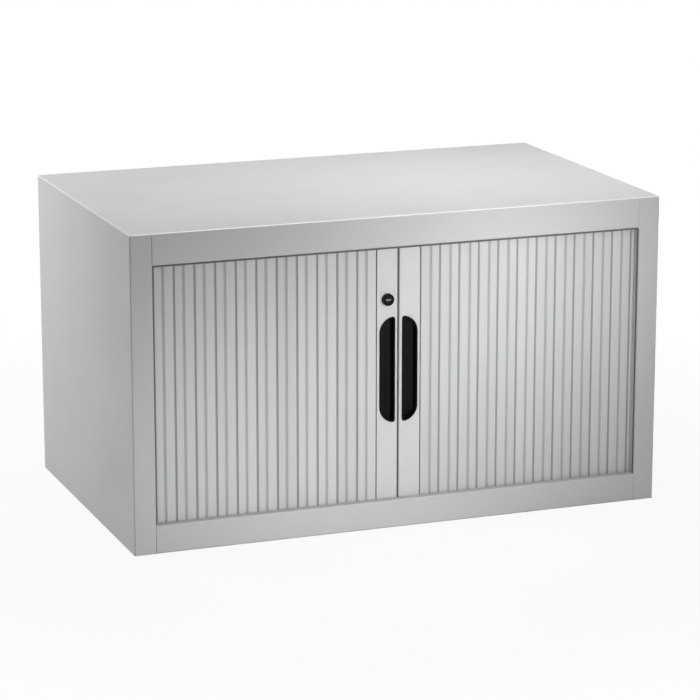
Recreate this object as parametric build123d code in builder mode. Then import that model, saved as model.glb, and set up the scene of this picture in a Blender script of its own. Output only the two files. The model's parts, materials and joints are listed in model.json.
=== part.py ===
from build123d import *
import os
from math import ceil, hypot

os.makedirs("parts", exist_ok=True)

# Roll front tool cabinet: a folded sheet-steel carcass with two roll fronts that open sideways.
# Sizes are in millimetres. X runs to the right, Y to the back and Z up.
# The origin is the middle of the underside. "left" and "right" are as seen from the front.

# ---------------------------------------------------------------- carcass
cabinet_width = 1000
cabinet_depth = 600
cabinet_height = 570
sheet = 1.2
fold_radius = 3.0            # outside radius of every fold
fold_straight = 0.2          # straight edge left below a fold
stile_width = 40
stile_return = 18
stile_fold_radius = 1.8      # outside radius of the fold beside the opening
header_height = 56
header_return = 15
sill_height = 51
sill_ledge = 18              # how far the ledge of the sill runs back
sill_hem = 20                # down-turned edge behind the ledge
seam = 0.15                  # open joint between header or sill and the stiles
back_flange = 20
foot_flange = 12
bottom_lip = 20
panel_fit = 0.1              # clearance between sheets that lie in each other
seal_height = 3.5            # black strip under the header
seal_width = 8
seal_inset = 0.3             # from the end of the header's or a stile's fold
lip_height = 1.4             # black lip along the inner side of each stile
lip_width = 3.5
lip_end_gap = 0.2            # from the lip to the header's strip and to the sill

# ---------------------------------------------------------------- connection holes, rivets, studs
hole_radius = 4.5
hole_spacing_x = 800
hole_spacing_y = 440
rivet_radius = 1.6
rivet_head_radius = 3.0
rivet_head = 1.0
rivet_rows = 5
rivet_columns = 5
rivet_end_space = 40         # from the cabinet's edge to the first rivet
stud_radius = 2.0
stud_length = 8
stud_clearance = 0.3
nut_across_flats = 7
nut_height = 3.2

# ---------------------------------------------------------------- inner walls and shelf
pocket_width = 36.8          # space between a side panel and its inner wall
liner_flange = 14
liner_fold = 5
liner_clearance = 6          # from the stacked slats to the inner wall
liner_studs = 3
slot_width = 4
slot_height = 14
slot_pitch = 25
slot_count = 17
slot_start = 60              # height of the lowest slot
slot_row_inset = 55          # from the inner wall's front and back edges
shelf_sheet = 1.0
shelf_fold = 25
shelf_gap = 2.0
shelf_slot = 9               # which slot, counted from the lowest, carries the shelf
clip_width = 24
clip_depth = 18
clip_sheet = 1.5
clip_leg = 26
clip_tongue = 6
clip_fit = 0.3

# ---------------------------------------------------------------- guides
rail_width = 20
rail_height = 41
rail_wall = 1.8
rail_foot = 14
rail_studs = 5
rail_lip = 1.5               # rail in front of the slats
groove_width = 5.2
groove_depth = 8
corner_radius = 30           # bend of the groove into the side pocket
corner_wall = 2.5
corner_roof = 11
guide_gap = 0.4              # between neighbouring guide pieces
slat_end_gap = 0.3           # between the slats' ends and the guides

# ---------------------------------------------------------------- roll fronts
curtain_recess = 20          # slats behind the front of the carcass
meeting_gap = 3
lead_width = 40
lead_thickness = 8
lead_wall = 1.6
lead_edge_radius = 2.5
lead_stop_gap = 6.5          # lead slat to stile when the front is open
slat_pitch = 37.5
slat_thickness = 3.2
slat_clearance = 0.15
slat_edge = 1.0              # space between the lead slat and the first slat
slat_tip = 3.4               # how far a slat stops short of its neighbour's edge
slat_start = 0.4
seat_depth = 0.35            # depth of the sloping seam at a slat's edge
joint_depth = 1.6
mid_groove = 6.2
mid_groove_floor = 2.6
mid_groove_depth = 1.7
slat_radius = 1.2
tip_radius = 0.4
first_lag = 5                # the first slat trails the lead slat by this much
first_step = 26              # and goes this far behind it
stack_step = 5               # each further slat goes this much deeper
stack_side_gap = 1.0

# ---------------------------------------------------------------- grips, shoes, stops
grip_width = 30
grip_height = 196            # between its sharp corners, before they are rounded
grip_above_middle = 2        # middle of the grips above the cabinet's middle
grip_inset = 5               # from the meeting edge of the lead slat
grip_flange = 1.2
grip_flange_thickness = 0.8
grip_depth = 14
grip_wall = 1.5
grip_drop = 6.8              # the sloping ends of a grip fall by this much
grip_end_flat = 0.8          # straight piece left of such an end between its rounded corners
grip_small_corner = 5
grip_trough_radius = 9
grip_fit = 0.1
shoe_length = 26
shoe_clearance = 0.3
shoe_reach = 7               # into the groove
shoe_plug = 15               # into the lead slat
stop_gap = 0.3
stop_fit = 0.2
stop_clearance = 0.4         # between a stop and the groove's floor

# ---------------------------------------------------------------- lock
lock_above_grip = 31         # from the upper end of the grips to the middle of the lock
collar_radius = 11
collar_length = 7
collar_edge = 1.5
barrel_radius = 9.3
barrel_length = 16
barrel_clearance = 0.2
plug_radius = 6
plug_clearance = 0.05
plug_sink = 0.8
keyway_width = 9
keyway_height = 2.4
keyway_depth = 6
shutter_sink = 0.5           # shutter of the keyway behind the plug's face
shutter_thickness = 1.0
shutter_clearance = 0.1
lock_nut_flats = 22
lock_nut_height = 4
tail_width = 6
cam_thickness = 3
cam_gap = 0.4                # between the barrel and the hook
cam_hub = 9
cam_width = 20
cam_length = 36
cam_corner = 6
hook_radius = 29
pin_radius = 2
pin_clearance = 0.8
cam_screw_radius = 2
cam_screw_head = 4.5
cam_screw_head_height = 2.2
cam_screw_length = 5
strike_width = 17.5
strike_height = 40
strike_inset = 1
strike_thickness = 2
strike_screw_radius = 1.5
strike_screw_head = 2.8
strike_screw_head_height = 1.8
strike_screw_length = 4.5
strike_screw_spacing = 26

# ---------------------------------------------------------------- worked out from the sizes above
half_width = cabinet_width / 2
front_y = -cabinet_depth / 2
back_y = cabinet_depth / 2
inside_x = half_width - sheet
opening_x = half_width - stile_width
opening_top = cabinet_height - header_height
top_lip = fold_radius + fold_straight
side_top = cabinet_height - top_lip
ceiling = cabinet_height - sheet
mid_height = cabinet_height / 2
back_panel_y = back_y - 2 * sheet
middle_plane = Plane.XY.offset(mid_height)
fold_inside = fold_radius - sheet
fold_free_x = inside_x - fold_inside - panel_fit     # widest place clear of the rounded inside of a fold
fold_free_y = back_y - fold_radius - panel_fit       # the same towards the back

curtain_y = front_y + curtain_recess
slat_bottom = sheet + rail_height + slat_end_gap
slat_length = cabinet_height - 2 * slat_bottom
lead_inner = meeting_gap / 2
lead_outer = lead_inner + lead_width
lead_middle = (lead_inner + lead_outer) / 2
lead_back_y = curtain_y + lead_thickness
curtain_start = lead_outer + slat_edge
slat_count = ceil((opening_x - curtain_start) / slat_pitch)
door_travel = opening_x - lead_stop_gap - lead_outer
first_travel = door_travel - first_lag
slat_face = slat_pitch - slat_tip
stack_room = inside_x - stack_side_gap - (curtain_start + first_travel + slat_face)
stack_shift = stack_room / (slat_count - 1)
slide_apart = slat_pitch - stack_shift
seam_slope = stack_step / slide_apart
stack_depth = first_step + (slat_count - 1) * stack_step + slat_thickness

grip_slope = hypot(grip_width, grip_drop)            # length of a grip's sloping end
grip_round = grip_slope - grip_small_corner * (grip_slope + grip_drop) / grip_width - grip_end_flat
grip_corner = grip_round * grip_width / (grip_slope - grip_drop)
grip_middle = mid_height + grip_above_middle

liner_x = inside_x - pocket_width
liner_front = curtain_y + stack_depth + liner_clearance
slot_front_y = liner_front + slot_row_inset
slot_back_y = back_panel_y - slot_row_inset
shelf_bottom = slot_start + (shelf_slot - 1) * slot_pitch + slot_height / 2 + clip_sheet

rail_front = curtain_y - rail_lip
groove_offset = rail_lip + lead_thickness / 2
groove_y = rail_front + groove_offset
groove_floor = sheet + rail_height - groove_depth
corner_start = opening_x - lead_stop_gap - 2 * guide_gap
groove_side_x = corner_start + corner_radius
corner_back = groove_y + corner_radius + groove_width + corner_wall
lock_x = -lead_middle
lock_height = grip_middle + grip_height / 2 + lock_above_grip
cam_y = lead_back_y - lead_thickness + barrel_length + cam_gap
tail_end = cam_y + cam_thickness


# ---------------------------------------------------------------- helpers
def outward(side, near, far):
    """The X range between two distances from the middle, on the left (-1) or right (1) side."""
    return tuple(sorted((side * near, side * far)))


def block(x_range, y_range, z_range, mode=Mode.ADD):
    """A box that fills the given ranges."""
    ranges = (x_range, y_range, z_range)
    middle = tuple((low + high) / 2 for low, high in ranges)
    with Locations(middle):
        Box(*(high - low for low, high in ranges), mode=mode)


def bar_along_y(x, z, radius, y_range, mode=Mode.ADD):
    """A round bar, or with Mode.SUBTRACT a round hole, that runs front to back."""
    low, high = y_range
    with Locations(Location((x, (low + high) / 2, z), (90, 0, 0))):
        Cylinder(radius, high - low, mode=mode)


def folded_sheet(plane, *points, first_fold=fold_radius):
    """The section of a folded sheet whose middle line runs through the points."""
    outside = [first_fold] + [fold_radius] * (len(points) - 3)
    with BuildSketch(plane) as section:
        with BuildLine():
            FilletPolyline(*points, radius=[radius - sheet / 2 for radius in outside])
        trace(line_width=sheet)
    return section.sketch


def spread(low, high, count):
    """Evenly spaced places from low to high."""
    return [low + (high - low) * i / (count - 1) for i in range(count)]


def save(piece, name):
    piece.part.label = name
    export_step(piece.part, f"parts/{name}.step")


# ---------------------------------------------------------------- shared places
rivet_heights = spread(rivet_end_space, cabinet_height - rivet_end_space, rivet_rows)
rivet_places_x = spread(-half_width + 2 * rivet_end_space, half_width - 2 * rivet_end_space, rivet_columns)
rivet_side_x = half_width - back_flange / 2
rivet_points = [(side * rivet_side_x, z) for side in (-1, 1) for z in rivet_heights]
rivet_points += [(x, z) for x in rivet_places_x for z in (back_flange / 2, cabinet_height - back_flange / 2)]
rail_foot_y = rail_front + rail_width + rail_foot / 2
rail_stud_points = [(x, rail_foot_y) for x in spread(-corner_start + 50, corner_start - 50, rail_studs)]
liner_stud_x = liner_x - liner_flange / 2
liner_stud_y = spread(liner_front + 20, back_panel_y - 20, liner_studs)
liner_stud_points = [(side * liner_stud_x, y) for side in (-1, 1) for y in liner_stud_y]


# ---------------------------------------------------------------- carcass
def make_side_panel(side, name):
    """One side with its front stile, the stile's return and the back flange, in one folded sheet."""
    stile_edge = side * (opening_x + sheet / 2)
    wall = side * (half_width - sheet / 2)
    front = front_y + sheet / 2
    back = back_y - sheet / 2
    with BuildPart() as side_panel:
        section = folded_sheet(
            Plane.XY,
            (stile_edge, front_y + stile_return),
            (stile_edge, front),
            (wall, front),
            (wall, back),
            (side * (half_width - back_flange), back),
            first_fold=stile_fold_radius,
        )
        extrude(section, amount=side_top)
        return_x = outward(side, opening_x, opening_x + fold_radius)
        block(return_x, (front_y + sheet, front_y + stile_return), (0, sheet + panel_fit), Mode.SUBTRACT)
        for z in rivet_heights:
            bar_along_y(side * rivet_side_x, z, rivet_head_radius, (back_y - sheet, back_y), Mode.SUBTRACT)
    save(side_panel, name)


def add_studs(face_z, upward):
    """Threaded weld studs on the inner face of the top or bottom panel."""
    reach = (face_z, face_z + stud_length) if upward else (face_z - stud_length, face_z)
    middle = sum(reach) / 2
    with Locations(*((x, y, middle) for x, y in rail_stud_points + liner_stud_points)):
        Cylinder(stud_radius, stud_length)


def add_back_holes(z):
    """Rivet holes in the back flange of the top or bottom panel."""
    for x in rivet_places_x:
        bar_along_y(x, z, rivet_head_radius, (back_y - sheet, back_y), Mode.SUBTRACT)


def make_top_panel():
    """The top with its rounded edges, and the header folded down at the front between the stiles."""
    with BuildPart() as top_panel:
        with BuildSketch(Plane.XY.offset(side_top)) as top_outline:
            Rectangle(cabinet_width, cabinet_depth)
            fillet(top_outline.vertices(), radius=fold_radius)
        extrude(amount=top_lip)
        fillet(top_panel.edges().group_by(Axis.Z)[-1], radius=fold_radius)
        offset(amount=-sheet, openings=top_panel.faces().sort_by(Axis.Z)[0])
        header = folded_sheet(
            Plane.YZ,
            (front_y + header_return, opening_top + sheet / 2),
            (front_y + sheet / 2, opening_top + sheet / 2),
            (front_y + sheet / 2, side_top + fold_straight),
        )
        extrude(header, amount=opening_x - seam, both=True)
        flange_x = half_width - back_flange - seam
        back_range = (cabinet_height - back_flange, side_top + fold_straight)
        block((-flange_x, flange_x), (back_y - sheet, back_y), back_range)
        add_back_holes(cabinet_height - back_flange / 2)
        add_studs(ceiling, upward=False)
    save(top_panel, "top_panel")


def make_header_seal():
    """A black strip along the underside of the header."""
    front = front_y + fold_radius + seal_inset
    with BuildPart() as header_seal:
        x_range = (-opening_x + seam, opening_x - seam)
        block(x_range, (front, front + seal_width), (opening_top - seal_height, opening_top))
    save(header_seal, "header_seal")


def make_stile_lips():
    """A slim black lip along the inner side of each stile, from the sill to the header's strip."""
    front = front_y + stile_fold_radius + seal_inset
    height_range = (sill_height + lip_end_gap, opening_top - seal_height - lip_end_gap)
    with BuildPart() as stile_lips:
        for side in (-1, 1):
            lip_x = outward(side, opening_x - lip_height, opening_x)
            block(lip_x, (front, front + lip_width), height_range)
    save(stile_lips, "stile_lips")


def make_bottom_panel():
    """The bottom with its side lips, the sill folded up at the front and a flange at the back."""
    floor_x = inside_x - panel_fit
    with BuildPart() as bottom_panel:
        with BuildSketch() as floor_outline:
            Rectangle(2 * floor_x, cabinet_depth - 2 * (sheet + panel_fit))
            fillet(floor_outline.vertices(), radius=fold_inside)
        extrude(amount=sheet)
        sill = folded_sheet(
            Plane.YZ,
            (front_y + sill_ledge - sheet / 2, sill_height - sill_hem),
            (front_y + sill_ledge - sheet / 2, sill_height - sheet / 2),
            (front_y + sheet / 2, sill_height - sheet / 2),
            (front_y + sheet / 2, sheet / 2),
            (front_y + foot_flange, sheet / 2),
        )
        extrude(sill, amount=opening_x - seam, both=True)
        upstand = folded_sheet(
            Plane.YZ,
            (back_y - foot_flange, sheet / 2),
            (back_y - sheet / 2, sheet / 2),
            (back_y - sheet / 2, back_flange),
        )
        extrude(upstand, amount=half_width - back_flange - seam, both=True)
        for side in (-1, 1):
            lip_x = outward(side, floor_x - sheet, floor_x)
            block(lip_x, (front_y + stile_return, fold_free_y), (0, bottom_lip))
        with Locations((0, 0, sheet)):
            with GridLocations(hole_spacing_x, hole_spacing_y, 2, 2):
                Hole(hole_radius, depth=2 * sheet)
        add_back_holes(back_flange / 2)
        add_studs(sheet, upward=True)
    save(bottom_panel, "bottom_panel")


def make_back_panel():
    """A flat sheet behind the contents, riveted to the flanges all round."""
    height_range = (fold_radius + panel_fit, cabinet_height - fold_radius - panel_fit)
    with BuildPart() as back_panel:
        block((-fold_free_x, fold_free_x), (back_panel_y, back_y - sheet), height_range)
        for x, z in rivet_points:
            bar_along_y(x, z, rivet_radius, (back_panel_y, back_y - sheet), Mode.SUBTRACT)
    save(back_panel, "back_panel")


def make_back_rivets():
    """Flush rivets: a flat head in the flange, the shank through the back panel, a head inside."""
    with BuildPart() as back_rivets:
        for x, z in rivet_points:
            bar_along_y(x, z, rivet_head_radius, (back_y - sheet, back_y))
            bar_along_y(x, z, rivet_radius, (back_panel_y - rivet_head, back_y))
            bar_along_y(x, z, rivet_head_radius, (back_panel_y - rivet_head, back_panel_y))
    save(back_rivets, "back_rivets")


# ---------------------------------------------------------------- inner walls, shelf, clips
def make_liner(side, name):
    """An inner wall that closes off the pocket of a roll front, with slots for the shelf clips."""
    foot = sheet * 1.5
    head = ceiling - sheet / 2
    with BuildPart() as liner:
        section = folded_sheet(
            Plane.XZ.offset(-fold_free_y),
            (side * (liner_x - liner_flange), foot),
            (side * (liner_x - sheet / 2), foot),
            (side * (liner_x - sheet / 2), head),
            (side * (liner_x - liner_flange), head),
        )
        extrude(section, amount=fold_free_y - liner_front)
        fold_heights = (foot + fold_radius, head - fold_radius)
        fold_x = outward(side, liner_x - sheet, liner_x + liner_fold)
        block(fold_x, (liner_front, liner_front + sheet), fold_heights)
        slot_heights = [slot_start + i * slot_pitch for i in range(slot_count)]
        wall = side * (liner_x - sheet / 2)
        with Locations(*((wall, y, z) for y in (slot_front_y, slot_back_y) for z in slot_heights)):
            Box(2 * sheet, slot_width, slot_height, mode=Mode.SUBTRACT)
        for y in liner_stud_y:
            for z in (foot, head):
                with Locations((side * liner_stud_x, y, z)):
                    Cylinder(stud_radius + stud_clearance, 2 * sheet, mode=Mode.SUBTRACT)
    save(liner, name)


def make_shelf():
    """A shelf with all four edges folded down; its folds stand on the clips."""
    half_shelf = liner_x - sheet - shelf_gap
    shelf_front = liner_front + shelf_gap
    shelf_depth = back_panel_y - shelf_gap - shelf_front
    with BuildPart() as shelf:
        with BuildSketch(Plane.XY.offset(shelf_bottom)):
            with Locations((0, shelf_front + shelf_depth / 2)):
                Rectangle(2 * half_shelf, shelf_depth)
        extrude(amount=shelf_fold)
        fillet(shelf.edges().group_by(Axis.Z)[-1], radius=2 * shelf_sheet)
        offset(amount=-shelf_sheet, openings=shelf.faces().sort_by(Axis.Z)[0])
    save(shelf, "shelf")


def make_shelf_clips():
    """Four angle clips, each with a tongue in a slot of the inner wall."""
    wall = liner_x - sheet
    ledge_top = shelf_bottom
    with BuildPart() as shelf_clips:
        for y in (slot_front_y, slot_back_y):
            half = clip_width / 2
            block((wall - clip_sheet, wall), (y - half, y + half), (ledge_top - clip_leg, ledge_top))
            block((wall - clip_depth, wall), (y - half, y + half), (ledge_top - clip_sheet, ledge_top))
            tongue_y = slot_width / 2 - clip_fit
            tongue_top = ledge_top - clip_sheet - clip_fit
            tongue_bottom = ledge_top - clip_sheet - slot_height + clip_fit
            block((wall, wall + clip_tongue), (y - tongue_y, y + tongue_y), (tongue_bottom, tongue_top))
        mirror(about=Plane.YZ)
    save(shelf_clips, "shelf_clips")


# ---------------------------------------------------------------- guides
def guide_section(plane, foot):
    """A hollow guide profile with an open groove; local x runs inwards and local y up."""
    cavity_height = rail_height - groove_depth - 2 * rail_wall
    with BuildSketch(plane) as section:
        with Locations((rail_width / 2, rail_height / 2)):
            Rectangle(rail_width, rail_height)
        with Locations((rail_width / 2, rail_wall + cavity_height / 2)):
            Rectangle(rail_width - 2 * rail_wall, cavity_height, mode=Mode.SUBTRACT)
        with Locations((groove_offset, rail_height - groove_depth / 2)):
            Rectangle(groove_width, groove_depth, mode=Mode.SUBTRACT)
        if foot:
            with Locations((rail_width + foot / 2, rail_wall / 2)):
                Rectangle(foot, rail_wall)
    return section.sketch


def make_front_rail(name, base_z, up):
    """The straight guide of the roll fronts, under them or over them, with a foot for its nuts."""
    plane = Plane(origin=(0, rail_front, base_z), x_dir=(0, 1, 0), z_dir=(up, 0, 0))
    with BuildPart() as rail:
        extrude(guide_section(plane, rail_foot), amount=corner_start - guide_gap, both=True)
        with Locations(*((x, y, base_z) for x, y in rail_stud_points)):
            Cylinder(stud_radius + stud_clearance, 3 * rail_wall, mode=Mode.SUBTRACT)
    save(rail, name)


def make_side_guides():
    """Four straight guides in the side pockets, where the slats of a real front run back."""
    outer_x = groove_side_x + groove_offset
    start = corner_back + guide_gap
    length = back_panel_y - rivet_head - fold_inside - start
    plane = Plane(origin=(outer_x, start + length / 2, sheet), x_dir=(-1, 0, 0), z_dir=(0, 1, 0))
    with BuildPart() as side_guides:
        extrude(guide_section(plane, 0), amount=length / 2, both=True)
        mirror(about=Plane.YZ)
        mirror(about=middle_plane)
    save(side_guides, "side_guides")


def make_corner_guides():
    """Four moulded corner guides; their groove turns from the front rail into the side pocket."""
    top = sheet + rail_height
    with BuildPart() as corner_guides:
        block((corner_start, fold_free_x), (rail_front, corner_back), (sheet, top))
        inner_x = (corner_start + corner_wall, fold_free_x - corner_wall)
        inner_y = (rail_front + corner_wall, corner_back - corner_wall)
        block(inner_x, inner_y, (sheet, top - corner_roof), Mode.SUBTRACT)
        with BuildSketch(Plane.XY.offset(groove_floor)):
            with BuildLine():
                FilletPolyline(
                    (corner_start, groove_y),
                    (groove_side_x, groove_y),
                    (groove_side_x, corner_back),
                    radius=corner_radius - guide_gap,
                )
            trace(line_width=groove_width)
        extrude(amount=groove_depth, mode=Mode.SUBTRACT)
        mirror(about=Plane.YZ)
        mirror(about=middle_plane)
    save(corner_guides, "corner_guides")


def make_stops():
    """Rubber stops in the grooves: in the middle for closed fronts, at the ends for open ones."""
    half_groove = groove_width / 2 - stop_fit
    y_range = (groove_y - half_groove, groove_y + half_groove)
    z_range = (groove_floor, groove_floor + groove_depth - stop_clearance)
    shoe_start = lead_middle - shoe_length / 2
    shoe_end = lead_middle + shoe_length / 2 + door_travel
    with BuildPart() as centre_stops:
        block((-shoe_start + stop_gap, shoe_start - stop_gap), y_range, z_range)
        mirror(about=middle_plane)
    save(centre_stops, "centre_stops")
    with BuildPart() as end_stops:
        block((shoe_end + stop_gap, corner_start - guide_gap), y_range, z_range)
        mirror(about=Plane.YZ)
        mirror(about=middle_plane)
    save(end_stops, "end_stops")


def make_nuts(name, points, seat):
    """Hexagon nuts on the weld studs, on the bottom and mirrored under the top."""
    with BuildPart() as nuts:
        with BuildSketch(Plane.XY.offset(sheet + seat)):
            with Locations(*points):
                RegularPolygon(nut_across_flats / 2, 6, major_radius=False)
                Circle(stud_radius + panel_fit, mode=Mode.SUBTRACT)
        extrude(amount=nut_height)
        mirror(about=middle_plane)
    save(nuts, name)


# ---------------------------------------------------------------- roll fronts
def grip_outline(side, inset, face_y):
    """The D shape of a grip, straight towards the meeting edge, made smaller by inset."""
    near = side * (lead_inner + grip_inset)
    far = side * (lead_inner + grip_inset + grip_width)
    low = grip_middle - grip_height / 2
    high = grip_middle + grip_height / 2
    with BuildSketch(Plane.XZ.offset(-face_y)) as outline:
        with BuildLine():
            FilletPolyline(
                (near, low),
                (near, high),
                (far, high - grip_drop),
                (far, low + grip_drop),
                radius=(grip_small_corner, grip_small_corner, grip_corner, grip_corner),
                close=True,
            )
        make_face()
        if inset:
            offset(amount=-inset)
    return outline.sketch


def grip_form(side, inset, front, depth):
    """A rounded trough with the grip's outline, from front to depth behind the slat's face."""
    middle = side * (lead_inner + grip_inset + grip_width / 2)
    half = grip_width / 2 - inset
    with BuildPart() as form:
        extrude(grip_outline(side, inset, curtain_y - front), amount=-front - depth)
        with BuildSketch(Plane.XY.offset(grip_middle)):
            with BuildLine():
                FilletPolyline(
                    (middle - half, curtain_y - front),
                    (middle + half, curtain_y - front),
                    (middle + half, curtain_y + depth),
                    (middle - half, curtain_y + depth),
                    radius=(0, 0, grip_trough_radius - inset, grip_trough_radius - inset),
                    close=True,
                )
            make_face()
        extrude(amount=grip_height, both=True, mode=Mode.INTERSECT)
    return form.part


def make_grip(side, name):
    """A black shell grip let into the lead slat, with a thin rim on the slat's face."""
    shell = grip_form(side, grip_flange, 0, grip_depth)
    hollow = grip_form(side, grip_flange + grip_wall, grip_flange_thickness, grip_depth - grip_wall)
    with BuildPart() as grip:
        add(shell)
        extrude(grip_outline(side, 0, curtain_y), amount=grip_flange_thickness)
        add(hollow, mode=Mode.SUBTRACT)
    save(grip, name)


def make_lead_slat(side, name):
    """The wide hollow slat at the meeting edge, cut out for its grip and for the lock or strike."""
    slant = lead_thickness * first_lag / first_step
    with BuildPart() as lead_slat:
        with BuildSketch(Plane.XY.offset(slat_bottom)):
            with BuildLine():
                FilletPolyline(
                    (side * lead_inner, curtain_y),
                    (side * lead_outer, curtain_y),
                    (side * (lead_outer - slant), lead_back_y),
                    (side * lead_inner, lead_back_y),
                    radius=(lead_edge_radius, slat_radius, slat_radius, slat_radius),
                    close=True,
                )
            make_face()
            offset(amount=-lead_wall, mode=Mode.SUBTRACT)
        extrude(amount=slat_length)
        grip_cut = grip_outline(side, grip_flange - grip_fit, curtain_y)
        extrude(grip_cut, amount=-lead_thickness, mode=Mode.SUBTRACT)
        if side < 0:
            bore = barrel_radius + barrel_clearance
            bar_along_y(lock_x, lock_height, bore, (curtain_y, lead_back_y), Mode.SUBTRACT)
        else:
            for x, z in strike_screw_points():
                wall = (lead_back_y - lead_wall, lead_back_y)
                bar_along_y(x, z, strike_screw_radius + panel_fit, wall, Mode.SUBTRACT)
    save(lead_slat, name)


def make_shoes(side, name):
    """Plastic shoes plugged into both ends of a lead slat; their tongues run in the grooves."""
    plug_y = lead_thickness / 2 - lead_wall - panel_fit
    tongue_y = groove_width / 2 - shoe_clearance
    middle_y = curtain_y + lead_thickness / 2
    half = shoe_length / 2
    plug_range = outward(side, lead_middle - half - 2, lead_middle + half)
    tongue_range = outward(side, lead_middle - half, lead_middle + half)
    tongue_bottom = sheet + rail_height - shoe_reach
    with BuildPart() as shoes:
        block(plug_range, (middle_y - plug_y, middle_y + plug_y), (slat_bottom, slat_bottom + shoe_plug))
        block(tongue_range, (middle_y - tongue_y, middle_y + tongue_y), (tongue_bottom, slat_bottom))
        mirror(about=middle_plane)
    save(shoes, name)


def slat_points(number):
    """Section of a slat: distance from the slat's inner edge and depth, with a corner radius each."""
    lap = (seat_depth + slat_clearance - slat_thickness) / seam_slope
    floor_start = (seat_depth + slat_clearance - joint_depth) / seam_slope
    edge_depth = seat_depth + slat_clearance - slat_start * seam_slope
    bevel_end = slat_start + edge_depth / seam_slope
    tip = slat_pitch - slat_tip
    tip_depth = seat_depth + slat_tip * seam_slope
    back_end = slat_pitch - (slat_thickness - seat_depth) / seam_slope
    middle = slat_pitch / 2
    half = mid_groove / 2
    half_floor = mid_groove_floor / 2
    first_slant = slat_thickness * first_lag / first_step
    lapped_edge = [
        (lap, slat_thickness, 0),
        (floor_start, joint_depth, 0),
        (slat_start, joint_depth, 0),
        (slat_start, edge_depth, slat_radius / 2),
        (bevel_end, 0, 0),
    ]
    plain_edge = [
        (slat_start - first_slant, slat_thickness, 0),
        (slat_start, 0, slat_radius),
    ]
    face = [
        (middle - half, 0, slat_radius),
        (middle - half_floor, mid_groove_depth, 0),
        (middle + half_floor, mid_groove_depth, 0),
        (middle + half, 0, slat_radius),
        (tip, 0, tip_radius),
        (tip, tip_depth, 0),
        (back_end, slat_thickness, 0),
    ]
    return (plain_edge if number == 1 else lapped_edge) + face


def make_slat(side, number, name):
    """One slat with two ribs; its sloping edges lap its neighbours, so that they slide apart."""
    start = curtain_start + (number - 1) * slat_pitch
    section = slat_points(number)
    with BuildPart() as slat:
        with BuildSketch(Plane.XY.offset(slat_bottom)):
            with BuildLine():
                FilletPolyline(
                    *((side * (start + across), curtain_y + depth) for across, depth, _ in section),
                    radius=[radius for _, _, radius in section],
                    close=True,
                )
            make_face()
        extrude(amount=slat_length)
    save(slat, name)


# ---------------------------------------------------------------- lock
def make_lock_housing():
    """The round collar on the slat's face and the barrel through it, bored for the plug."""
    with BuildPart() as lock_housing:
        bar_along_y(lock_x, lock_height, collar_radius, (curtain_y - collar_length, curtain_y))
        fillet(lock_housing.edges().sort_by(Axis.Y)[0], radius=collar_edge)
        bar_along_y(lock_x, lock_height, barrel_radius, (curtain_y, curtain_y + barrel_length))
        bore = (curtain_y - collar_length, curtain_y + barrel_length)
        bar_along_y(lock_x, lock_height, plug_radius + plug_clearance, bore, Mode.SUBTRACT)
    save(lock_housing, "lock_housing")


def make_lock_nut():
    """The nut that clamps the barrel from behind."""
    with BuildPart() as lock_nut:
        with BuildSketch(Plane.XZ.offset(-lead_back_y)):
            with Locations((lock_x, lock_height)):
                RegularPolygon(lock_nut_flats / 2, 6, major_radius=False)
                Circle(barrel_radius + panel_fit, mode=Mode.SUBTRACT)
        extrude(amount=-lock_nut_height)
    save(lock_nut, "lock_nut")


def make_lock_plug():
    """The turning plug with its keyway in front and a square tail behind."""
    plug_front = curtain_y - collar_length + plug_sink
    barrel_end = curtain_y + barrel_length
    with BuildPart() as lock_plug:
        bar_along_y(lock_x, lock_height, plug_radius, (plug_front, barrel_end))
        half_tail = tail_width / 2
        x_range = (lock_x - half_tail, lock_x + half_tail)
        z_range = (lock_height - half_tail, lock_height + half_tail)
        block(x_range, (barrel_end, tail_end), z_range)
        key_x = (lock_x - keyway_width / 2, lock_x + keyway_width / 2)
        key_z = (lock_height - keyway_height / 2, lock_height + keyway_height / 2)
        block(key_x, (plug_front, plug_front + keyway_depth), key_z, Mode.SUBTRACT)
        screw_range = (tail_end - cam_screw_length, tail_end)
        bar_along_y(lock_x, lock_height, cam_screw_radius, screw_range, Mode.SUBTRACT)
    save(lock_plug, "lock_plug")


def make_key_shutter():
    """The bright shutter just inside the keyway, which a key pushes back."""
    half_x = keyway_width / 2 - shutter_clearance
    half_z = keyway_height / 2 - shutter_clearance
    front = curtain_y - collar_length + plug_sink + shutter_sink
    with BuildPart() as shutter:
        x_range = (lock_x - half_x, lock_x + half_x)
        block(x_range, (front, front + shutter_thickness), (lock_height - half_z, lock_height + half_z))
    save(shutter, "key_shutter")


def make_lock_hook():
    """The flat hook on the plug's tail. Turned a quarter to the right it grips the strike pin."""
    slot_path = CenterArc((0, 0), hook_radius, 40, 50)
    with BuildPart() as lock_hook:
        with BuildSketch(Plane.XZ.offset(-cam_y)) as outline:
            with Locations((lock_x, lock_height)):
                Circle(cam_hub)
                with Locations((0, cam_length / 2)):
                    Rectangle(cam_width, cam_length)
            fillet(outline.vertices().group_by(Axis.Y)[-1], radius=cam_corner)
            with Locations((lock_x, lock_height)):
                SlotArc(slot_path, 2 * (pin_radius + pin_clearance), mode=Mode.SUBTRACT)
                Rectangle(tail_width + panel_fit, tail_width + panel_fit, mode=Mode.SUBTRACT)
        extrude(amount=-cam_thickness)
    save(lock_hook, "lock_hook")


def make_hook_screw():
    """The screw that holds the hook on the plug."""
    with BuildPart() as hook_screw:
        bar_along_y(lock_x, lock_height, cam_screw_radius, (tail_end - cam_screw_length, tail_end))
        bar_along_y(lock_x, lock_height, cam_screw_head, (tail_end, tail_end + cam_screw_head_height))
        fillet(hook_screw.edges().sort_by(Axis.Y)[-1], radius=cam_screw_head_height / 2)
    save(hook_screw, "hook_screw")


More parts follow.
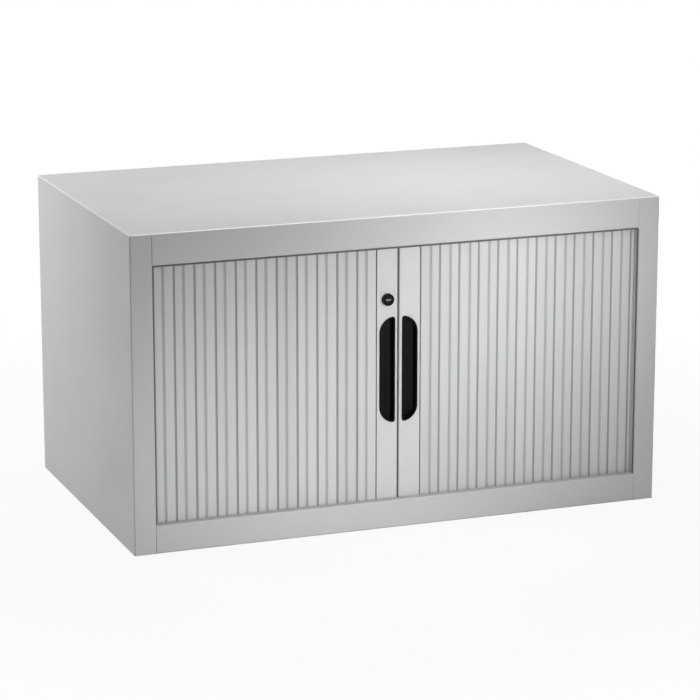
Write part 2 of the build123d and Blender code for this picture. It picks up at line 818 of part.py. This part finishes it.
def strike_screw_points():
    """Places of the strike's screws on the right lead slat."""
    x = lead_inner + strike_inset + strike_width - strike_screw_head - 1
    half = strike_screw_spacing / 2
    return [(x, lock_height - half), (x, lock_height + half)]


def make_strike():
    """A plate on the back of the right lead slat with the pin that the hook grips."""
    near = lead_inner + strike_inset
    plate_back = lead_back_y + strike_thickness
    half = strike_height / 2
    with BuildPart() as strike:
        z_range = (lock_height - half, lock_height + half)
        block((near, near + strike_width), (lead_back_y, plate_back), z_range)
        pin_end = cam_y + cam_thickness + pin_clearance
        bar_along_y(lock_x + hook_radius, lock_height, pin_radius, (plate_back, pin_end))
        for x, z in strike_screw_points():
            bar_along_y(x, z, strike_screw_radius + panel_fit, (lead_back_y, plate_back), Mode.SUBTRACT)
    save(strike, "strike_plate")


def make_strike_screws():
    """Two pan-head screws through the strike into the back wall of the lead slat."""
    head_start = lead_back_y + strike_thickness
    head_end = head_start + strike_screw_head_height
    with BuildPart() as strike_screws:
        for x, z in strike_screw_points():
            shank = (head_start - strike_screw_length, head_start)
            bar_along_y(x, z, strike_screw_radius, shank)
            bar_along_y(x, z, strike_screw_head, (head_start, head_end))
        fillet(strike_screws.edges().group_by(Axis.Y)[-1], radius=strike_screw_head_height / 2)
    save(strike_screws, "strike_screws")


# ---------------------------------------------------------------- build
make_side_panel(-1, "left_side_panel")
make_side_panel(1, "right_side_panel")
make_top_panel()
make_header_seal()
make_stile_lips()
make_bottom_panel()
make_back_panel()
make_back_rivets()
make_liner(-1, "left_liner")
make_liner(1, "right_liner")
make_shelf()
make_shelf_clips()
make_front_rail("bottom_guide_rail", sheet, 1)
make_front_rail("top_guide_rail", ceiling, -1)
make_side_guides()
make_corner_guides()
make_stops()
make_nuts("rail_nuts", rail_stud_points, rail_wall)
make_nuts("liner_nuts", liner_stud_points, sheet)
for side, hand in ((-1, "left"), (1, "right")):
    make_lead_slat(side, f"{hand}_lead_slat")
    make_grip(side, f"{hand}_grip")
    make_shoes(side, f"{hand}_guide_shoes")
    for number in range(1, slat_count + 1):
        make_slat(side, number, f"{hand}_slat_{number:02d}")
make_lock_housing()
make_lock_nut()
make_lock_plug()
make_key_shutter()
make_lock_hook()
make_hook_screw()
make_strike()
make_strike_screws()

print(f"door travel {door_travel:.3f}, slats {slat_count}, stack depth {stack_depth:.2f}")
print(f"each slat moves {slide_apart:.9f} less than the one before it")
for number in range(1, slat_count + 1):
    shift_x = first_travel - (number - 1) * slide_apart
    shift_y = first_step + (number - 1) * stack_step
    print(f"slat {number:02d} shift x {shift_x:.6f} y {shift_y:.6f} way {hypot(shift_x, shift_y):.6f}")
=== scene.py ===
# %% [markdown]
# # A roll front tool cabinet
#
# This notebook dresses the model of a low, wide workshop cabinet. It is folded from sheet steel,
# and two roll fronts of upright slats run sideways in front of it. Everything with a size comes
# from the CAD model, which is loaded as a fixed frame. What is made here is the look: the floor,
# the light, the camera and the finish of each part, from powder coat to zinc plating.
#
# The frame comes first, since every later step measures against it. Its box is kept at once, and
# later cells read edges from it.

# %% Load the frame
import json
import math

import bpy
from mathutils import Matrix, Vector


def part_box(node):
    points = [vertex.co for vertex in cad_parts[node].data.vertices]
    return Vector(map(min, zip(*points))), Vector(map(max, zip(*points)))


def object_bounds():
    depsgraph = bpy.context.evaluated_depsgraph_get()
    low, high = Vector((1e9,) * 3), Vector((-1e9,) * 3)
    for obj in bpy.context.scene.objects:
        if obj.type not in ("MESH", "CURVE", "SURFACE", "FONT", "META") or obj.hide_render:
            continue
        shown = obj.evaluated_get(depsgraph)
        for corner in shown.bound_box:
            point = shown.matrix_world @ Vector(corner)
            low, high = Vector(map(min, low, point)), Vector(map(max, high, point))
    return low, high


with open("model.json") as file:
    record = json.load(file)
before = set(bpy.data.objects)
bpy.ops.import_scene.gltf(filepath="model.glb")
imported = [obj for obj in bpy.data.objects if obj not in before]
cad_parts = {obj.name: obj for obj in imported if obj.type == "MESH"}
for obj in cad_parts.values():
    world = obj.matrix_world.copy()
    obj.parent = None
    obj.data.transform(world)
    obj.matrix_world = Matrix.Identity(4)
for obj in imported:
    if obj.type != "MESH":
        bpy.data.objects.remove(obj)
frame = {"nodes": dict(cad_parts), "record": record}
cad_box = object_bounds()
nodes = frame["nodes"]
print("cabinet box", [round(v, 4) for corner in cad_box for v in corner], "nodes", len(nodes))

# %% [markdown]
# ## A small language for shader maths
#
# A finish is a formula: dust here, a little wear there, a grain along one axis. Node graphs hide
# such formulas in a web of links, so one small class wraps a socket and lets Python write them as
# sums and products. Each operator adds a Math node. The reflected forms are there so that
# `1 - mask` works as well as `mask - 1`. Every other node comes from the method `node`, which
# sets the node's own settings first and then its sockets, because a setting can change which
# sockets there are.

# %% The wire class
class Wire:
    """The output of a shader node, as a value that can be used in a formula."""

    def __init__(self, tree, socket=None):
        self.tree = tree
        self.socket = socket

    def node(self, kind, settings=None, inputs=None, output=0):
        """Adds a node: its settings, then the values or wires of its sockets."""
        made = self.tree.nodes.new(kind)
        for key, value in (settings or {}).items():
            setattr(made, key, value)
        for key, value in (inputs or {}).items():
            if isinstance(value, Wire):
                self.tree.links.new(value.socket, made.inputs[key])
            else:
                made.inputs[key].default_value = value
        return Wire(self.tree, made.outputs[output] if made.outputs else None)

    def math(self, operation, first, second=0.0, clamp=False):
        settings = {"operation": operation, "use_clamp": clamp}
        return self.node("ShaderNodeMath", settings, {0: first, 1: second})

    def __add__(self, other):
        return self.math("ADD", self, other)

    def __radd__(self, other):
        return self.math("ADD", other, self)

    def __sub__(self, other):
        return self.math("SUBTRACT", self, other)

    def __rsub__(self, other):
        return self.math("SUBTRACT", other, self)

    def __mul__(self, other):
        return self.math("MULTIPLY", self, other)

    def __rmul__(self, other):
        return self.math("MULTIPLY", other, self)

    def __truediv__(self, other):
        return self.math("DIVIDE", self, other)

    def clamp(self):
        return self.math("ADD", self, 0.0, clamp=True)

    def floor(self):
        return self.math("FLOOR", self)

    def size(self):
        """The value without its sign."""
        return self.math("ABSOLUTE", self)

    def step(self, low, high):
        """A smooth step from 0 at low to 1 at high."""
        inputs = {"Value": self, "From Min": low, "From Max": high}
        return self.node("ShaderNodeMapRange", {"interpolation_type": "SMOOTHSTEP"}, inputs)


print("operators", [name for name in dir(Wire) if name.startswith("__r") and name != "__repr__"])

# %% [markdown]
# ## Patterns that several finishes share
#
# The CAD parts carry no texture map, but they stand in the frame in real metres. A pattern that
# reads the object coordinates therefore has a real scale: grain of a millimetre is a millimetre.
# Since a part keeps its own coordinates when it slides, the pattern stays on it as the fronts open.
# Noise stretched along one axis gives the lines of a drawn or extruded surface, and even noise
# gives the orange peel of powder coat.

# %% Coordinates, noise and colour mixing
class Surface:
    """A material under construction: its tree, its coordinates and its shader."""

    def __init__(self, name):
        self.material = bpy.data.materials.new(name)
        self.material.use_nodes = True
        tree = self.material.node_tree
        tree.nodes.clear()
        self.wire = Wire(tree)
        self.place = self.wire.node("ShaderNodeTexCoord", output="Object")

    def axis(self, letter):
        """One coordinate of the surface point, in metres."""
        return self.wire.node("ShaderNodeSeparateXYZ", None, {0: self.place}, letter)

    def noise(self, scale, stretch=(1, 1, 1), detail=2.0, roughness=0.5):
        """Noise of a scale per metre, drawn out along an axis where stretch is small."""
        place = self.wire.node(
            "ShaderNodeVectorMath", {"operation": "MULTIPLY"}, {0: self.place, 1: stretch}
        )
        inputs = {"Vector": place, "Scale": scale, "Detail": detail, "Roughness": roughness}
        return self.wire.node("ShaderNodeTexNoise", None, inputs)

    def mix(self, factor, first, second):
        """One colour into another; a plain colour is given as three numbers."""
        colours = [c if isinstance(c, Wire) else (*c, 1.0) for c in (first, second)]
        inputs = {0: factor, 6: colours[0], 7: colours[1]}
        return self.wire.node("ShaderNodeMix", {"data_type": "RGBA"}, inputs, 2)

    def facing(self, letter):
        """How far the surface faces along an axis, from -1 to 1."""
        geometry = self.wire.node("ShaderNodeNewGeometry", output="Normal")
        return self.wire.node("ShaderNodeSeparateXYZ", None, {0: geometry}, letter)

    def folded(self):
        """1 on the round of a fold, 0 on the flats beside it."""
        still_flat, fully_round = 0.02, 0.16
        flat = self.facing("X").size()
        for letter in "YZ":
            flat = self.wire.math("MAXIMUM", flat, self.facing(letter).size())
        return (1 - flat).step(still_flat, fully_round)

    def bump(self, height, strength, distance, under=None):
        """Relief of a height pattern, over an earlier bump if there is one."""
        inputs = {"Height": height, "Strength": strength, "Distance": distance}
        if under is not None:
            inputs["Normal"] = under
        return self.wire.node("ShaderNodeBump", None, inputs)

    def finish(self, colour, roughness, normal, **others):
        """The surface's shader. Other sockets are named with an underscore for a space."""
        inputs = {"Base Color": colour, "Roughness": roughness, "Normal": normal}
        inputs.update({name.replace("_", " "): value for name, value in others.items()})
        shader = self.wire.node("ShaderNodeBsdfPrincipled", None, inputs)
        self.wire.node("ShaderNodeOutputMaterial", None, {"Surface": shader})
        return self.material


def grey(level, warmth=0.0):
    """A near grey, a touch warmer or cooler."""
    return (level * (1 + warmth), level, level * (1 - warmth))


def shade(colour, factor):
    """The same colour, darker or paler."""
    return [c * factor for c in colour]


print("a light grey of this cabinet", [round(v, 3) for v in grey(0.6, -0.012)])

# %% [markdown]
# ## Powder coat
#
# The carcass is sprayed with a dry powder that is baked to a skin of paint. Close up it has the
# faint orange peel of all powder coat, a fine grain of about a millimetre over a lazy waviness of
# some centimetres, which is the sheet itself. It could be one grey with a roughness, but then a
# large panel reads as plastic. So the grey drifts a little over the panel, the grain goes into a
# bump and some dust dulls the gloss in patches. The folds need their own touch. The rim of the
# top and the lower fold of the header are painted paler, with less roughness and a little
# metallic: a painted highlight. Upright folds and the foot are painted darker instead, a painted
# shade in the folds. The ledge in the recess behind the sill is painted darker too, a painted
# shade.
# The places of rim, header and ledge are read from the frame, so the marks sit on the real edges.

# %% Powder coat
rim_height = 0.0035
rim_low = cad_box[1][2] - rim_height
header_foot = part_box("header_seal")[1].z
foot_height = 0.003
ledge_front = cad_box[0][1]
ledge_depth = 0.020
ledge_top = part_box("bottom_panel")[1].z
ledge_shade_amount = 0.45


# The ledge in the recess behind the sill is painted darker: a painted shade.
def ledge_painted_shade(coat):
    """1 on the sill's upper fold and on the ledge behind it."""
    behind_front = coat.axis("Y") - ledge_front
    before_slats = 1 - behind_front.step(ledge_depth, ledge_depth + 0.002)
    on_ledge = behind_front.step(0.0005, 0.002) * before_slats
    off_level = (coat.axis("Z") - ledge_top).size()
    return on_ledge * (1 - off_level.step(0.002, 0.003)) * coat.facing("Z").step(0.1, 0.8)


def powder_coat(name, colour, gloss=0.42, grain=0.10):
    """Sprayed and baked paint on sheet steel."""
    coat = Surface(name)
    drift = coat.noise(2.3, detail=3.0)
    dust = coat.noise(9.0, stretch=(1, 1, 0.6), detail=5.0, roughness=0.6).step(0.45, 0.75)
    grain_relief = coat.noise(850.0, detail=1.5)
    waves = coat.noise(14.0, detail=1.0)
    tone = coat.mix(drift, shade(colour, 0.965), shade(colour, 1.03))
    tone = coat.mix(dust * 0.10, tone, shade(colour, 0.93))
    fold = coat.folded()
    height = coat.axis("Z")
    # Painted highlight: the rim of the top and the lower fold of the header are painted paler, with
    # less roughness and a little metallic.
    rim = height.step(rim_low, rim_low + 0.001)
    header_foot_band = 1 - (height - header_foot).size().step(0.002, 0.004)
    painted_highlight = fold * (rim + header_foot_band * 0.4) * (0.8 + drift * 0.2)
    upright = 1 - coat.facing("Z").size().step(0.15, 0.40)
    foot = 1 - height.step(foot_height, foot_height + 0.001)
    # Upright folds and the foot are painted darker: a painted shade in the folds.
    painted_fold_shade = fold * (upright * 0.4 + foot * 0.8).clamp()
    tone = coat.mix(painted_fold_shade, tone, shade(colour, 0.5))
    # Painted shade on the ledge behind the sill.
    tone = coat.mix(ledge_painted_shade(coat) * ledge_shade_amount, tone, shade(colour, 0.62))
    # The painted highlight on the rim and the header's lower fold.
    tone = coat.mix(painted_highlight, tone, shade(colour, 1.38))
    sheet_relief = coat.bump(waves, 0.08, 0.0006)
    relief = coat.bump(grain_relief, grain, 0.00012, sheet_relief)
    shine = gloss + dust * 0.10 - painted_highlight * 0.12
    return coat.finish(tone, shine, relief, Metallic=painted_highlight * 0.2)


carcass_coat = powder_coat("carcass_powder_coat", grey(0.60, -0.017))
inner_coat = powder_coat("inner_powder_coat", grey(0.57, -0.015), gloss=0.5)
print("powder coats", carcass_coat.name, inner_coat.name)

# %% [markdown]
# ## The slats of the roll fronts
#
# A slat is an extruded strip with two flat ribs. Extrusion leaves lines that run the full height,
# so its noise is squeezed across and drawn out along Z. No two strips of a batch are quite the
# same grey. A random number for each strip gives that: the place along X is counted in strips,
# and a white noise of the count is the same all over one strip. The right front counts on from a
# number of its own, so that the two fronts aren't mirror images. The grooves are painted darker,
# partly dust and partly painted shade, the joints between two slats more than the shallow groove
# in the middle of a slat.

# %% Slat finish
slat_pitch = 0.0375
first_slat_at = 0.0425
slat_face_y = -0.280
groove_floor = 0.0016
other_front = 20.0


def slat_finish(name, colour):
    """Satin plastic with extrusion lines, one tone for each strip, and dust and painted shade in
    its grooves.
    """
    strip = Surface(name)
    across = strip.axis("X")
    strips = (across.size() - first_slat_at) / slat_pitch
    count = strips.floor()
    joint = (strips - count - 0.5).size().step(0.36, 0.42)
    front = across.step(-0.0001, 0.0001) * other_front
    number = {"W": count + front}
    own = strip.wire.node("ShaderNodeTexWhiteNoise", {"noise_dimensions": "1D"}, number)
    lines = strip.noise(700.0, stretch=(1, 1, 0.004), detail=3.0)
    depth = (strip.axis("Y") - slat_face_y).step(0.0003, groove_floor)
    tone = strip.mix(own, shade(colour, 0.955), shade(colour, 1.035))
    tone = strip.mix(lines.step(0.35, 0.8) * 0.10, tone, shade(colour, 0.86))
    # The grooves are painted darker with depth, the joints more: partly dust, partly painted shade.
    tone = strip.mix(depth * (0.52 + joint * 0.26), tone, shade(colour, 0.38))
    relief = strip.bump(lines, 0.12, 0.00010)
    return strip.finish(tone, 0.40 + lines * 0.12, relief)


slat_plastic = slat_finish("slat_plastic", grey(0.66, -0.018))
print("slat finish", slat_plastic.name)

# %% [markdown]
# ## The lead slats
#
# The lead slat of each front is a wide plain profile, powder coated like the carcass. It is the
# part that hands touch. Around the grips the coat is polished and a trace darker. The mask is the
# distance to the grip's outline, worked out from the coordinates, so it needs no painting.

# %% Lead slat finish
grip_low, grip_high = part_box("left_grip")
grip_centre_z = (grip_low.z + grip_high.z) / 2
grip_half_z = (grip_high.z - grip_low.z) / 2
grip_centre_x = abs(grip_low.x + grip_high.x) / 2
handled_near, handled_far = 0.012, 0.05


def lead_finish(name, colour):
    """Powder coat that is handled around the grips."""
    coat = Surface(name)
    beside = (coat.axis("X").size() - grip_centre_x).size()
    above = (coat.axis("Z") - grip_centre_z).size() - grip_half_z * 0.85
    patches = coat.noise(60.0, detail=4.0)
    handled = 1 - (above + beside * 0.6 + patches * 0.02).step(handled_near, handled_far)
    grain = coat.noise(850.0, detail=1.5)
    drift = coat.noise(6.0, detail=3.0)
    tone = coat.mix(drift, shade(colour, 0.97), shade(colour, 1.03))
    tone = coat.mix(handled * 0.22, tone, shade(colour, 0.80))
    return coat.finish(tone, 0.42 - handled * 0.10, coat.bump(grain, 0.10, 0.00012))


lead_coat = lead_finish("lead_slat_coat", grey(0.68, -0.017))
print("grips at x", round(grip_centre_x, 4), "z", round(grip_centre_z, 4))

# %% [markdown]
# ## Black plastics and rubber
#
# The grips, the guide shoes, the corner guides and the stops are moulded, and the strips beside
# the opening are rubber too. A mould is spark-eroded, and the part takes that fine even grain. The
# grips are rubbed smooth where fingers pull, so their gloss varies more than that of the hidden
# parts. One function makes all of them, because only grey, gloss and grain differ.

# %% Moulded finishes
def moulded(name, colour, gloss, grain, rubbed=0.0, mirror=0.5):
    """Plastic or rubber from a textured mould."""
    part = Surface(name)
    texture = part.noise(1300.0, detail=2.0)
    patches = part.noise(35.0, detail=4.0)
    tone = part.mix(patches, shade(colour, 0.8), shade(colour, 1.25))
    shine = gloss + texture * 0.10 - patches.step(0.45, 0.7) * rubbed
    relief = part.bump(texture, grain, 0.00015)
    return part.finish(tone, shine, relief, Specular_IOR_Level=mirror)


grip_plastic = moulded("grip_plastic", grey(0.004), 0.32, 0.20, rubbed=0.08, mirror=0.08)
shoe_plastic = moulded("shoe_plastic", grey(0.030), 0.48, 0.2)
corner_plastic = moulded("corner_plastic", grey(0.075), 0.5, 0.25)
stop_rubber = moulded("stop_rubber", grey(0.028, 0.02), 0.78, 0.5)
seal_rubber = moulded("seal_rubber", grey(0.125), 0.72, 0.4)
print("moulded", [m.name for m in (grip_plastic, shoe_plastic, corner_plastic, seal_rubber)])

# %% [markdown]
# ## Bare and plated metal
#
# The guide rails are anodised aluminium with drawing lines along them. Nuts, clips, hook and
# strike are zinc plated, and zinc soon has a dull, cloudy, slightly blue and yellow skin. Both are
# metals in the shader, so their colour is the colour of their reflections, and most of the look is
# in the roughness pattern. In a white studio a bright metal would mirror nothing but white, so the
# zinc is kept darker than a handbook would have it, and its shape stays readable.

# %% Metal finishes
def drawn_metal(name, colour, lines_along):
    """Anodised profile with fine lines along it."""
    part = Surface(name)
    lines = part.noise(900.0, stretch=lines_along, detail=3.0)
    clouds = part.noise(12.0, detail=3.0)
    tone = part.mix(clouds, shade(colour, 0.93), shade(colour, 1.04))
    relief = part.bump(lines, 0.15, 0.00008)
    return part.finish(tone, 0.34 + lines * 0.14, relief, Metallic=1.0)


def zinc_plated(name):
    """Dulled zinc with cloudy blue and yellow."""
    part = Surface(name)
    clouds = part.noise(160.0, detail=3.0)
    cells = part.wire.node("ShaderNodeTexVoronoi", None, {"Vector": part.place, "Scale": 420.0})
    tone = part.mix(clouds.step(0.35, 0.65), (0.36, 0.38, 0.41), (0.44, 0.42, 0.37))
    relief = part.bump(cells, 0.06, 0.00008)
    return part.finish(tone, 0.36 + cells * 0.18, relief, Metallic=1.0)


rail_metal = drawn_metal("rail_anodised", grey(0.72, -0.01), (0.01, 1, 1))
zinc = zinc_plated("zinc_steel")
print("metals", rail_metal.name, zinc.name)

# %% [markdown]
# ## The lock
#
# The collar is a black coated casting, paler in patches towards its rim. The plug is blackened
# and turned on a lathe, so its lines are rings around the lock's own axis, the sine of the
# distance from it. The paler rim uses the same distance.
# Behind the keyway sits a shutter of dull steel, the only bright thing in the face of the lock.

# %% Lock finishes
collar_low, collar_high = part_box("lock_housing")
lock_axis_x = (collar_low.x + collar_high.x) / 2
lock_axis_z = (collar_low.z + collar_high.z) / 2
collar_radius = (collar_high.x - collar_low.x) / 2
lathe_rings = 22000.0


def from_lock_axis(part):
    """Distance of the surface point from the lock's axis, in metres."""
    offset_x = part.axis("X") - lock_axis_x
    offset_z = part.axis("Z") - lock_axis_z
    return part.wire.math("SQRT", offset_x * offset_x + offset_z * offset_z)


def lock_collar_finish(name):
    """Black coat on a casting, paler in patches at the rim."""
    part = Surface(name)
    texture = part.noise(1400.0, detail=2.0)
    rim = from_lock_axis(part).step(collar_radius * 0.84, collar_radius * 0.93)
    outer = from_lock_axis(part).step(collar_radius * 0.96, collar_radius * 0.999)
    # The collar is painted paler in patches around the rim.
    paler_rim = (rim - outer) * part.noise(420.0, detail=4.0).step(0.42, 0.68)
    tone = part.mix(paler_rim * 0.5, (0.004, 0.004, 0.0045), (0.06, 0.06, 0.06))
    relief = part.bump(texture, 0.15, 0.0001)
    return part.finish(tone, 0.34 + texture * 0.12, relief, Specular_IOR_Level=0.06)


def lock_plug_finish(name):
    """Blackened metal with rings from the lathe and scratches of keys."""
    part = Surface(name)
    rings = part.wire.math("SINE", from_lock_axis(part) * lathe_rings)
    scratches = part.noise(900.0, stretch=(1, 1, 0.15), detail=3.0).step(0.55, 0.72)
    tone = part.mix(scratches * 0.5, (0.006, 0.006, 0.0065), (0.04, 0.04, 0.04))
    relief = part.bump(rings * 0.5 + scratches, 0.12, 0.00004)
    return part.finish(tone, 0.32 + scratches * 0.12, relief, Specular_IOR_Level=0.10)


def dull_steel_finish(name):
    """Steel that has gone dull, brushed across."""
    part = Surface(name)
    lines = part.noise(1500.0, stretch=(0.05, 1, 1), detail=3.0)
    tone = part.mix(lines, (0.13, 0.13, 0.135), (0.26, 0.26, 0.265))
    return part.finish(tone, 0.45 + lines * 0.15, part.bump(lines, 0.1, 0.00005), Metallic=1.0)


lock_collar = lock_collar_finish("lock_black_coat")
lock_plug = lock_plug_finish("lock_blackened")
shutter_steel = dull_steel_finish("shutter_steel")
print("lock axis", round(lock_axis_x, 4), round(lock_axis_z, 4), "radius", round(collar_radius, 4))

# %% [markdown]
# ## Every CAD part gets its finish
#
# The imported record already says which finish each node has, in its material slots. One dictionary
# turns a slot into a material made above. The parts are never moved or reshaped: only the
# material in their slot changes.

# %% Assign the finishes
finishes = {
    "carcass": carcass_coat,
    "inner_steel": inner_coat,
    "painted_rivet": powder_coat("rivet_coat", grey(0.56, -0.017), gloss=0.38),
    "slat_plastic": slat_plastic,
    "lead_slat": lead_coat,
    "grip_plastic": grip_plastic,
    "shoe_plastic": shoe_plastic,
    "corner_plastic": corner_plastic,
    "rail": rail_metal,
    "stop_rubber": stop_rubber,
    "seal_rubber": seal_rubber,
    "zinc_steel": zinc,
    "lock_black": lock_collar,
    "lock_plug": lock_plug,
}
slot_of = {part["node"]: part["material_slot"] for part in frame["record"]["subparts"]}
for name, node in nodes.items():
    for material_slot in node.material_slots:
        material_slot.material = finishes[slot_of[name]]
nodes["key_shutter"].material_slots[0].material = shutter_steel
print("dressed", len(slot_of), "nodes in", len(set(slot_of.values())), "finishes")

# %% [markdown]
# ## The floor
#
# A catalogue picture stands its product on white paper that fades into white. Real white paper
# would need far more light than the cabinet, and would then throw that light back at it. So the
# floor glows only for those who look at it: rays from the camera, and mirror-like rays, see a mix
# of white and of the lit floor, which keeps the shadow. Away from the cabinet it is all white.
# Every other ray meets plain pale paper.

# %% Floor
def make_floor(half=16.0):
    """A flat sheet far larger than the view."""
    corners = [(-half, -half, 0), (half, -half, 0), (half, half, 0), (-half, half, 0)]
    mesh = bpy.data.meshes.new("floor")
    mesh.from_pydata(corners, [], [(0, 1, 2, 3)])
    floor = bpy.data.objects.new("floor", mesh)
    bpy.context.scene.collection.objects.link(floor)
    return floor


def seen_directly(wire):
    """1 for rays of the camera, of reflections and through glass."""
    kinds = ("Is Camera Ray", "Is Glossy Ray", "Is Transmission Ray")
    seen = [wire.node("ShaderNodeLightPath", output=kind) for kind in kinds]
    return (seen[0] + seen[1] + seen[2]).clamp()


shadow_ends, all_white = 0.7, 1.6
glow_near = 0.90

paper = Surface("pale_paper")
far = paper.wire.node("ShaderNodeVectorMath", {"operation": "LENGTH"}, {0: paper.place}, "Value")
fade = far.step(shadow_ends, all_white)
lit = paper.wire.node("ShaderNodeBsdfDiffuse", None, {"Color": (0.80, 0.80, 0.80, 1.0)})
white = paper.wire.node("ShaderNodeEmission", None, {"Color": (1, 1, 1, 1), "Strength": 1.0})
glow = seen_directly(paper.wire) * (glow_near + fade * (1 - glow_near))
mixed = paper.wire.node("ShaderNodeMixShader", None, {0: glow, 1: lit, 2: white})
paper.wire.node("ShaderNodeOutputMaterial", None, {"Surface": mixed})
floor = make_floor()
floor.data.materials.append(paper.material)
print("floor", [round(v, 1) for v in floor.dimensions])

# %% [markdown]
# ## Studio light
#
# The light is what a product photographer would set for a pale box on white paper. One bright dome
# would be simpler, but it flattens the slats. So a large box hangs overhead and makes the top the
# brightest face. A wide one stands far in front, level with the header, so that the header throws
# no shadow on the slats behind it. A small one above the right end of the header rakes down over
# the fronts and throws the soft shadow of the lock. Wide fronts never come out even that way. The
# remedy is a few small boxes with a grid in front, which light one place each: the header, the top,
# the fronts, the sill and the left stile. One more box stands to the left, level with the back
# edge, so that the side panel runs from light to dark. The right side and the back get a box each,
# for those who walk round. Seen along the top, a small strong box would burn a white patch into
# it, so two of them are kept out of reflections. The world adds a little everywhere, and looks
# white.

# %% World and lamps
def soft_box(name, place, target, width, height, power, beam=180.0, mirrored=True):
    """A rectangular area lamp that looks at a point, behind a grid if its beam is narrow."""
    lamp = bpy.data.lights.new(name, "AREA")
    lamp.spread = math.radians(beam)
    lamp.shape = "RECTANGLE"
    lamp.size, lamp.size_y = width, height
    lamp.energy = power
    box = bpy.data.objects.new(name, lamp)
    box.location = place
    box.rotation_euler = (Vector(target) - Vector(place)).to_track_quat("-Z", "Y").to_euler()
    box.visible_camera = False
    box.visible_glossy = mirrored
    bpy.context.scene.collection.objects.link(box)
    return box


world = bpy.data.worlds.new("studio")
world.use_nodes = True
world.node_tree.nodes.clear()
sky = Wire(world.node_tree)
white_sky = (1.0, 1.0, 1.0, 1.0)
fill = sky.node("ShaderNodeBackground", None, {"Color": white_sky, "Strength": 0.06})
shown = sky.node("ShaderNodeBackground", None, {"Color": white_sky, "Strength": 1.0})
around = sky.node("ShaderNodeMixShader", None, {0: seen_directly(sky), 1: fill, 2: shown})
sky.node("ShaderNodeOutputWorld", None, {"Surface": around})
bpy.context.scene.world = world

lamps = [
    soft_box("overhead", (0.0, 0.1, 2.8), (0.0, 0.0, 0.5), 2.4, 2.0, 34.4),
    soft_box("front", (0.0, -2.6, 0.55), (0.0, -0.3, 0.35), 1.6, 0.8, 6.9),
    soft_box("over_header", (0.34, -0.95, 0.95), (0.25, -0.3, 0.5), 0.4, 0.3, 1.0, mirrored=False),
    soft_box("header_grid", (0.3, -0.9, 0.5), (0.27, -0.3, 0.5), 0.3, 0.15, 0.2, beam=70),
    soft_box("top_grid", (0.25, -0.2, 1.6), (0.25, 0.0, 0.57), 0.8, 0.5, 0.82, beam=60),
    soft_box("fronts_grid", (0.2, -1.3, 0.5), (0.05, -0.3, 0.3), 0.5, 0.3, 0.47, beam=60),
    soft_box("sill_grid", (-0.3, -1.1, 0.2), (-0.15, -0.3, 0.05), 0.6, 0.15, 0.29, beam=70),
    soft_box("stile_grid", (-0.9, -1.2, 0.5), (-0.42, -0.3, 0.2), 0.3, 0.3, 0.13, beam=60),
    soft_box("left_back", (-1.3, 0.6, 0.9), (-0.5, 0.25, 0.45), 0.5, 0.4, 6.7, mirrored=False),
    soft_box("right", (2.3, 0.5, 0.4), (0.5, 0.1, 0.3), 1.2, 0.7, 12.0),
    soft_box("behind", (0.4, 2.3, 0.3), (0.0, 0.3, 0.3), 1.4, 0.5, 14.0),
]
print("lamps", [lamp.name for lamp in lamps])

# %% [markdown]
# ## Camera
#
# The cabinet is seen from the front left and a little above, with a long lens that flattens the
# perspective. The lens is worked out for a square render 700 pixels wide, in pixels first and then
# in millimetres. The camera was placed so that the corners of the carcass fall where they should,
# with nothing but a turn and a tilt.

# %% Camera
picture_width = 700
focal_pixels = 2998.5
sensor_width = 36.0
tilt_down, turn_right = 13.901, 20.737

lens_data = bpy.data.cameras.new("view")
lens_data.sensor_width = sensor_width
lens_data.lens = focal_pixels * sensor_width / picture_width
camera = bpy.data.objects.new("view", lens_data)
camera.location = (-1.9135, -5.0908, 1.6030)
camera.rotation_euler = (math.radians(90 - tilt_down), 0.0, math.radians(-turn_right))
bpy.context.scene.collection.objects.link(camera)
bpy.context.scene.camera = camera
bpy.context.scene.view_settings.view_transform = "Standard"
print("lens", round(lens_data.lens, 1), "mm")

# %% [markdown]
